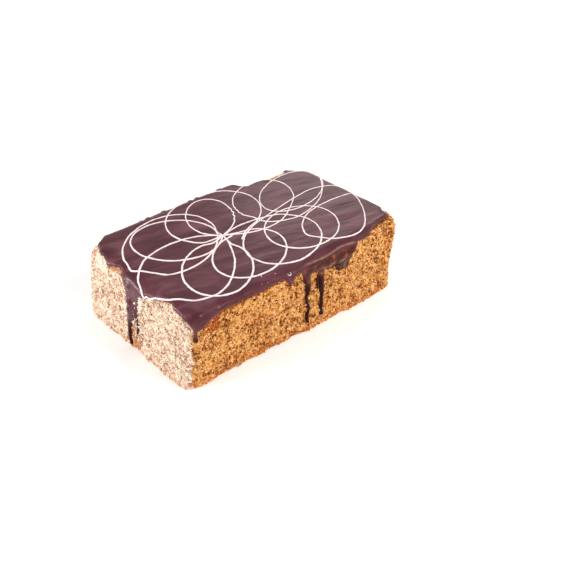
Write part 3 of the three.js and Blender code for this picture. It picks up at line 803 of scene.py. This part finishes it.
def grains(name, places, sizes):
    """One mesh of crumbs, at places and of sizes in millimetres across."""
    turns = random_turns(len(places))
    stretch = rng.uniform(0.7, 1.25, (len(places), 3)) * sizes[:, None] / 2
    which = rng.integers(len(SHAPES), size=len(places))
    points, faces, first = [], [], 0
    for number, (shape, sides) in enumerate(SHAPES):
        mine = np.flatnonzero(which == number)
        moved = np.einsum("nij,nkj->nki", turns[mine], shape[None] * stretch[mine][:, None])
        moved = moved + places[mine][:, None]
        points.append(moved.reshape(-1, 3))
        starts = first + np.arange(len(mine)) * len(shape)
        faces.append((sides[None] + starts[:, None, None]).reshape(-1, 3))
        first += len(mine) * len(shape)
    points, faces = np.vstack(points), np.vstack(faces)
    points = np.clip(points, ROOM_LOW + [0, 0, 0.02], ROOM_HIGH)
    mesh = bpy.data.meshes.new(name)
    mesh.from_pydata((points * MM).tolist(), [], faces.tolist())
    print(name, len(places), "grains,", len(faces), "faces")
    return stand(name, mesh)


# %% Where grains may lie
def bare_places(count, low=-0.15, high=0.4):
    """Random places of the wall that the icing leaves bare, or only just covers."""
    u, run = rng.uniform(0, AROUND, count), rng.uniform(-6, WALL_RUN - 0.8, count)
    keep = icing_depth(u, run) < rng.uniform(low, high, count)
    return u[keep], run[keep]


def border_places(count, start, end, high_up, shade_low_down, reach_over):
    """Random places in a window of the surface, only along the icing's border."""
    u, run = rng.uniform(start, end, count), rng.uniform(high_up, shade_low_down, count)
    depth = icing_depth(u, run)
    keep = (depth > reach_over[0]) & (depth < reach_over[1])
    return u[keep], run[keep], np.maximum(depth[keep], 0)


SMALLEST_GRAIN = 0.45


def grain_sizes(count, middle, largest=2.4):
    """Random sizes in millimetres, as many below the middle one as above it."""
    return np.exp(rng.normal(math.log(middle), 0.3, count)).clip(SMALLEST_GRAIN, largest)


# %% Scatter the coat's own grains
COAT_TRIES, COAT_MIDDLE, COAT_LARGEST = 32000, 1.65, 3.0
# Each kind's share of the coat ends here, and what is left is pale. Patches shift the shares.
DARK_TO, BROWN_TO, CARAMEL_TO, GOLDEN_TO = 0.13, 0.29, 0.33, 0.68
FOOT_BROWNED_TO = 0.6
END_CLUSTERS, SIDE_CLUSTERS = 0.25, 0.65

u, run = bare_places(COAT_TRIES)
sizes = grain_sizes(len(u), COAT_MIDDLE, COAT_LARGEST)
patches = soft_noise(on_cake(u, run), 3.8, 12.0) + 0.4 * soft_noise(on_cake(u, run), 14.0, 15.0)
sunk = np.clip(crumb_relief(on_cake(u, run)), DEEPEST_PIT, 0)
places = on_cake(u, run, -SET_IN + 0.6 * sunk + sizes * 0.1 + 0.15)
clustered = np.where(np.abs(across_to(u, left(0))) < 60, END_CLUSTERS, SIDE_CLUSTERS)
pick = rng.uniform(size=len(u)) + clustered * patches
# The foot is browned all round, except on the pale left end.
foot_band = ease(run, WALL_RUN - 10, WALL_RUN - 3) * (rim(u)[2] > -0.8) > rng.uniform(size=len(u))
browned_foot = foot_band & (pick < FOOT_BROWNED_TO)
GRAIN_KINDS = [
    ("dark_crumbs", pick < DARK_TO),
    ("brown_crumbs", (pick >= DARK_TO) & (pick < BROWN_TO)),
    ("caramel_crumbs", (pick >= BROWN_TO) & ((pick < CARAMEL_TO) | browned_foot)),
    ("golden_crumbs", (pick >= CARAMEL_TO) & (pick < GOLDEN_TO) & ~browned_foot),
    ("pale_crumbs", pick >= GOLDEN_TO),
]
heaps = {name: [(places[mine], sizes[mine])] for name, mine in GRAIN_KINDS}
# Dabs of bare cream come only with the fringe.
heaps["cream_dabs"] = []
print("coat", {name: int(mine.sum()) for name, mine in GRAIN_KINDS})

# %% Add the grains that fringe the icing
# Each row: the kind, the tries, the side, the window along and down, how near the border, the size.
# How near is said by the icing's depth there, so a number below nothing is outside the border.
AT_BORDER, NEAR_BORDER = (-1.0, 0.9), (-4.0, 0.5)
FRINGES = [
    ("dark_crumbs", 5000, front, -80, -14, 4, 14, AT_BORDER, 1.1),
    ("caramel_crumbs", 5000, front, -92, -14, 4, 20, AT_BORDER, 1.3),
    ("caramel_crumbs", 420, front, -93, -78, 10, 22, NEAR_BORDER, 1.5),
    ("dark_crumbs", 160, front, -93, -78, 10, 22, NEAR_BORDER, 1.4),
    ("dark_crumbs", 1600, front, 60, 104, -2, 9, AT_BORDER, 1.1),
    ("caramel_crumbs", 900, left, 32, 15, 5, 11, (-1.6, 0.6), 1.3),
    ("caramel_crumbs", 420, left, 66, 50, 2, 12, NEAR_BORDER, 1.7),
    ("cream_dabs", 1100, left, 62, 32, 4, 18, NEAR_BORDER, 1.9),
    ("dark_crumbs", 260, left, 66, 44, 2, 16, NEAR_BORDER, 1.4),
    ("pale_crumbs", 3600, left, 1, -14, 14, 60, AT_BORDER, 1.3),
    ("dark_crumbs", 1500, left, 2, -12, 30, 60, AT_BORDER, 1.2),
    ("caramel_crumbs", 520, left, 4, -8, 46, 66, NEAR_BORDER, 1.4),
    ("dark_crumbs", 160, left, 4, -8, 40, 66, NEAR_BORDER, 1.4),
    ("dark_crumbs", 1600, left, -26, -64, 2, 16, AT_BORDER, 1.0),
    ("cream_dabs", 1300, back, 99, 50, -3, 6, (-5.0, 0.8), 1.7),
    ("cream_dabs", 70, left, -3, -9, 20, 52, (0.2, 3.2), 1.3),
    ("caramel_crumbs", 1800, back, 96, -100, 0, 18, AT_BORDER, 1.2),
]
for name, tries, side, start, end, high_up, shade_low_down, nearness, middle in FRINGES:
    u, run, depth = border_places(tries, side(start), side(end), high_up, shade_low_down, nearness)
    sizes = grain_sizes(len(u), middle)
    heaps[name].append((on_cake(u, run, depth - SET_IN + sizes * 0.3), sizes))

# A few crumbs stick to the icing near its edge, where it was touched.
SPECKS, SPECK_SIZE = [(-26, -62), (-40.7, -64.5), (-36, -65.5)], 0.7
stuck = on_icing(*np.array(SPECKS, float).T, 0.1)
heaps["cream_dabs"].append((stuck, np.full(len(stuck), SPECK_SIZE)))
crumbs = {}
for name, heap in heaps.items():
    crumbs[name] = grains(name, *(np.concatenate(part) for part in zip(*heap)))

# %% [markdown]
# ## Finishes
#
# A colour read off a photo is an sRGB value, and Blender mixes light in linear values, so one
# function turns the first into the second. One more adds a node with its settings and links.


# %% Helpers for materials
def colour(code):
    """An sRGB hex colour as the linear values that shaders use."""
    parts = [int(code[i : i + 2], 16) / 255 for i in (1, 3, 5)]
    return (*(c / 12.92 if c <= 0.04045 else ((c + 0.055) / 1.055) ** 2.4 for c in parts), 1)


def feed(tree, socket, value):
    """Links a socket to another one, or sets it to a plain value."""
    if isinstance(value, bpy.types.NodeSocket):
        tree.links.new(value, socket)
    else:
        socket.default_value = value


def add(tree, kind, sockets=None, **settings):
    """One node with its settings, and each of its sockets linked or set."""
    made = tree.nodes.new(kind)
    for name, value in settings.items():
        setattr(made, name, value)
    for name, value in (sockets or {}).items():
        feed(tree, made.inputs[name], value)
    return made


def finish(name, **sockets):
    """A material and its Principled shader, with plain values set on the shader's own sockets."""
    material = bpy.data.materials.new(name)
    material.use_nodes = True
    shader = material.node_tree.nodes["Principled BSDF"]
    for key, value in sockets.items():
        shader.inputs[key.replace("_", " ")].default_value = value
    print("finish", name)
    return material, material.node_tree, shader


def dress(piece, material, shader, shown, relief=None):
    """Joins the colour, and any relief, to the shader, and gives the finish to the piece."""
    links = material.node_tree.links
    links.new(shown, shader.inputs["Base Color"])
    if relief:
        links.new(relief.outputs["Normal"], shader.inputs["Normal"])
    piece.data.materials.append(material)


print("middle grey is", round(colour("#808080")[0], 3), "in linear light")


# %% Mixing colours and numbers
def bands(tree, factor, stops):
    """Colours that change with the factor, from stops of (factor, hex value)."""
    made = add(tree, "ShaderNodeValToRGB", {"Fac": factor})
    elements = made.color_ramp.elements
    while len(elements) < len(stops):
        elements.new(0.5)
    for element, (place, code) in zip(elements, stops):
        element.position = place
        element.color = colour(code)
    return made.outputs["Color"]


def blend(tree, factor, a, b):
    """Mixes two colours, each a socket or a hex value."""
    a, b = (v if isinstance(v, bpy.types.NodeSocket) else colour(v) for v in (a, b))
    made = add(tree, "ShaderNodeMix", data_type="RGBA")
    for name, value in (("Factor_Float", factor), ("A_Color", a), ("B_Color", b)):
        feed(tree, next(i for i in made.inputs if i.identifier == name), value)
    return next(o for o in made.outputs if o.identifier == "Result_Color")


def ramp(tree, value, start, end):
    """A number that goes from 0 at start to 1 at end."""
    sockets = {"Value": value, "From Min": start, "From Max": end}
    return add(tree, "ShaderNodeMapRange", sockets, interpolation_type="SMOOTHSTEP").outputs["Result"]


def combine(tree, a, b, kind="MULTIPLY"):
    """Two numbers, each a socket or a value, multiplied, added or subtracted."""
    made = add(tree, "ShaderNodeMath", operation=kind)
    for socket, value in zip(made.inputs, (a, b)):
        feed(tree, socket, value)
    return made.outputs["Value"]


# %% Where the crumbs are paler, partly as painted light, and where they are browner
def lit_pale_end(tree, where):
    """1 on the cake's left end, fading along the back, and 0 elsewhere: paler there, partly as painted
    light from the key lamp and partly as paler crumbs.
    """
    axes = add(tree, "ShaderNodeSeparateXYZ", {"Vector": where})
    across = combine(tree, axes.outputs["X"], axes.outputs["Y"], "SUBTRACT")
    rough = add(tree, "ShaderNodeTexNoise", {"Vector": where, "Scale": 1 / (6 * MM), "Detail": 2})
    jitter = combine(tree, rough.outputs["Fac"], 16 * MM)
    corner = ramp(tree, combine(tree, across, jitter, "ADD"), -30 * MM, -33.5 * MM)
    return combine(tree, corner, ramp(tree, axes.outputs["X"], -45 * MM, -97 * MM))


def near_foot(tree, where, pale, amount):
    """The foot is browner, and less so on the pale end."""
    height = add(tree, "ShaderNodeSeparateXYZ", {"Vector": where}).outputs["Z"]
    share = combine(tree, combine(tree, pale, -0.6), 1.0, "ADD")
    return combine(tree, ramp(tree, height, 10 * MM, 2 * MM), combine(tree, share, amount))


# %% Pressed crumbs: dry sponge, matt, painted darker in the pits as painted shade
# Grated sponge has no shine at all. Its cells are a millimetre and a half across, like its grains.
coat, tree, shader = finish("pressed_sponge_crumbs", Roughness=0.95, Specular_IOR_Level=0.2)
where = add(tree, "ShaderNodeTexCoord").outputs["Object"]
height = add(tree, "ShaderNodeAttribute", attribute_name="crumb_height").outputs["Fac"]
cells = add(tree, "ShaderNodeTexVoronoi", {"Vector": where, "Scale": 1 / (1.5 * MM)})
shade = add(tree, "ShaderNodeSeparateColor", {"Color": cells.outputs["Color"]}).outputs["Red"]
# Low places of the relief take the dark end of the bands: painted shade in the pits, with a random shade
# for each cell.
high = combine(tree, ramp(tree, height, -0.9, 0.3), 0.6)
pit_shade_and_cells = combine(tree, high, combine(tree, shade, 0.4), "ADD")
GOLDEN = [(0.06, "#6a3714"), (0.3, "#b0692e"), (0.55, "#d08e48"), (0.95, "#ecb972")]
# The paler bands, for the left end: partly painted light from the key lamp, partly paler crumbs.
LIT_CREAM = [(0.08, "#a4826d"), (0.3, "#cfae96"), (0.55, "#e2c6ad"), (0.95, "#f3dfca")]
pale = lit_pale_end(tree, where)
sided = blend(tree, pale, bands(tree, pit_shade_and_cells, GOLDEN), bands(tree, pit_shade_and_cells, LIT_CREAM))
shown = blend(tree, near_foot(tree, where, pale, 0.45), sided, "#d27d38")
pitted = {"Height": cells.outputs["Distance"], "Distance": 0.4 * MM}
relief = add(tree, "ShaderNodeBump", pitted, invert=True)
dress(body, coat, shader, shown, relief)

# %% Loose grains: the same sponge, from its crust to its middle
# Each kind has a dark and a light shade, and the same two, paler, for the left end of the cake: partly
# painted light from the key lamp, partly paler crumbs.
CRUMB_SHADES = {
    "dark_crumbs": ("#6b3414", "#8e5226", "#a67d66", "#c29f8a"),
    "brown_crumbs": ("#9a5622", "#bb7838", "#c4a089", "#dabaa5"),
    "caramel_crumbs": ("#a8521f", "#d0803c", "#b97446", "#dea878"),
    "golden_crumbs": ("#cf8b46", "#e2a862", "#e4cab0", "#f2dcc4"),
    "pale_crumbs": ("#e6b070", "#f6cc90", "#f0dcc8", "#fbecdc"),
    "cream_dabs": ("#e8d0aa", "#f5e4c6", "#f0dcc8", "#fbecdc"),
}
for name, (deep, light, lit_pale_deep, lit_pale_light) in CRUMB_SHADES.items():
    crumb, tree, shader = finish(f"{name}_sponge", Roughness=0.9, Specular_IOR_Level=0.25)
    where = add(tree, "ShaderNodeTexCoord").outputs["Object"]
    mottle = add(tree, "ShaderNodeTexNoise", {"Vector": where, "Scale": 1 / (2.5 * MM), "Detail": 2})
    golden = bands(tree, mottle.outputs["Fac"], [(0.35, deep), (0.65, light)])
    cream = bands(tree, mottle.outputs["Fac"], [(0.35, lit_pale_deep), (0.65, lit_pale_light)])
    # The left end takes the paler pair: partly painted light from the key lamp, partly paler crumbs.
    pale = lit_pale_end(tree, where)
    sided = blend(tree, pale, golden, cream)
    shown = blend(tree, near_foot(tree, where, pale, 0.35), sided, "#dc8c46")
    dress(crumbs[name], crumb, shader, shown)

# %% Chocolate glaze: poured and set, satin, with the drag of the spatula
# Cocoa fat gives it a soft, slightly warm shine, which the spatula's strokes break into streaks.
warm = {"Specular_IOR_Level": 0.22, "Specular_Tint": colour("#ffcabe")}
glaze, tree, shader = finish("poured_chocolate_glaze", Roughness=0.29, IOR=1.48, **warm)
where = add(tree, "ShaderNodeTexCoord").outputs["Object"]
turned = add(tree, "ShaderNodeMapping", {"Vector": where, "Rotation": (0, 0, -STROKE_WAY)})
drawn = add(tree, "ShaderNodeMapping", {"Vector": turned.outputs["Vector"], "Scale": (0.34, 1, 1)})
drawn = drawn.outputs["Vector"]
swirled = {"Vector": drawn, "Scale": 1 / (13 * MM), "Detail": 3, "Distortion": 0.9}
cloud = add(tree, "ShaderNodeTexNoise", swirled)
top = bands(tree, cloud.outputs["Fac"], [(0.3, "#48252c"), (0.5, "#552f36"), (0.7, "#6d434a")])
# The fold band's brown is its own; the tan spots at the top of this ramp are painted highlights.
glint_spots = add(tree, "ShaderNodeTexNoise", {"Vector": where, "Scale": 1 / (7 * MM), "Detail": 4})
brown = bands(tree, glint_spots.outputs["Fac"], [(0.4, "#360f08"), (0.54, "#552418"), (0.7, "#8f5a46")])
browned = add(tree, "ShaderNodeAttribute", attribute_name="browned").outputs["Fac"]
crest = add(tree, "ShaderNodeAttribute", attribute_name="crested").outputs["Fac"]
dark = add(tree, "ShaderNodeAttribute", attribute_name="painted_drip_shade").outputs["Fac"]
# Tan on the crest and lumps: partly a thin crust, partly a painted highlight.
folded = blend(tree, combine(tree, crest, 0.6), blend(tree, browned, top, brown), "#b88c76")
# Near black low in the drips: painted shade.
shown = blend(tree, dark, folded, "#2e0903")
scraped = {"Vector": drawn, "Scale": 1 / (4 * MM), "Detail": 4, "Distortion": 0.7}
streaks = add(tree, "ShaderNodeTexNoise", scraped)
dragged = {"Height": streaks.outputs["Fac"], "Strength": 0.38, "Distance": 0.4 * MM}
relief = add(tree, "ShaderNodeBump", dragged)
dress(icing, glaze, shader, shown, relief)

# %% White icing: cocoa butter and milk solids, so opaque and a little waxy
white, tree, shader = finish("piped_white_chocolate", Roughness=0.42, IOR=1.46)
where = add(tree, "ShaderNodeTexCoord").outputs["Object"]
tint = add(tree, "ShaderNodeTexNoise", {"Vector": where, "Scale": 1 / (6 * MM), "Detail": 2})
milky = bands(tree, tint.outputs["Fac"], [(0.3, "#f0dcdc"), (0.7, "#fbf0ef")])
dress(line, white, shader, milky)

# %% [markdown]
# ## Light and floor
#
# A white floor and a pale sky fill the shadows. The key lamp on the left makes the end face bright
# and lays the highlight down the broad drip, and a low one beside it reaches under the lip there.
# The strongest stands high in front, for the long side. Two weak ones lift the far end and put a
# sheen on the top from behind. All of them are soft boxes, as in a studio.

# %% Stage
bm = bmesh.new()
bmesh.ops.create_grid(bm, x_segments=1, y_segments=1, size=3.0)
floor = mesh_object("floor", bm)
glow = {"Emission_Color": colour("#ffffff"), "Emission_Strength": 0.16}
paper = {"Base_Color": colour("#f8f8f8"), "Roughness": 0.9, "Specular_IOR_Level": 0.1}
matt, tree, shader = finish("white_paper_floor", **paper, **glow)
floor.data.materials.append(matt)
floor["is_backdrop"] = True

sky = bpy.data.worlds.new("pale_room")
sky.use_nodes = True
background = sky.node_tree.nodes["Background"].inputs
background["Color"].default_value = colour("#ffffff")
background["Strength"].default_value = 0.58
scene.world = sky


def soft_lamp(name, place, aim, size, power, tint="#ffffff"):
    """A soft box, size (wide, tall), that faces the aim and stands upright."""
    data = bpy.data.lights.new(name, "AREA")
    data.shape, data.size, data.size_y, data.energy = "RECTANGLE", *size, power
    data.color = colour(tint)[:3]
    lamp = stand(name, data)
    lamp.location = place
    lamp.rotation_mode = "QUATERNION"
    lamp.rotation_quaternion = (Vector(aim) - Vector(place)).to_track_quat("-Z", "Y")
    print(name, power, "W")


soft_lamp("key_from_left", (-1.0, 0.35, 0.5), (0, 0, 0.03), (0.4, 0.85), 6.9)
soft_lamp("low_light_from_left", (-0.76, 0.7, 0.1), (-0.1, 0, 0.04), (0.16, 0.12), 3.4)
soft_lamp("light_from_right", (0.6, -0.5, 0.35), (0.09, -0.06, 0.03), (0.3, 0.3), 0.9, "#fffaf4")
soft_lamp("fill_from_front", (0.35, -1.0, 1.1), (0, 0, 0.03), (0.35, 0.35), 12.5, "#fffaf4")
soft_lamp("sheen_from_behind", (0.8, 0.7, 0.5), (0.05, 0.02, 0.05), (0.35, 0.35), 0.9)
scene.view_settings.view_transform = "Standard"

# %% [markdown]
# ## Hang every piece on the cake's body
#
# A whole cake is one body, so every piece rides on "root", and the two imported solids that the new
# pieces replace are hidden. The box of what is shown is printed at the end.

# %% Hang everything on the frame
for piece in (body, *crumbs.values()):
    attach(piece, "root")
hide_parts("crumb_coated_cake")
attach(icing, "root")
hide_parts("chocolate_icing")
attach(line, "root")
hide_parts("chocolate_icing")
print("riding on root:", len(crumbs) + 3, "pieces")

# %% Print the box of what is shown; the imported model's was printed at the start
low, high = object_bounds()
print("visual box", [round(v / MM, 1) for v in (*low, *high)])
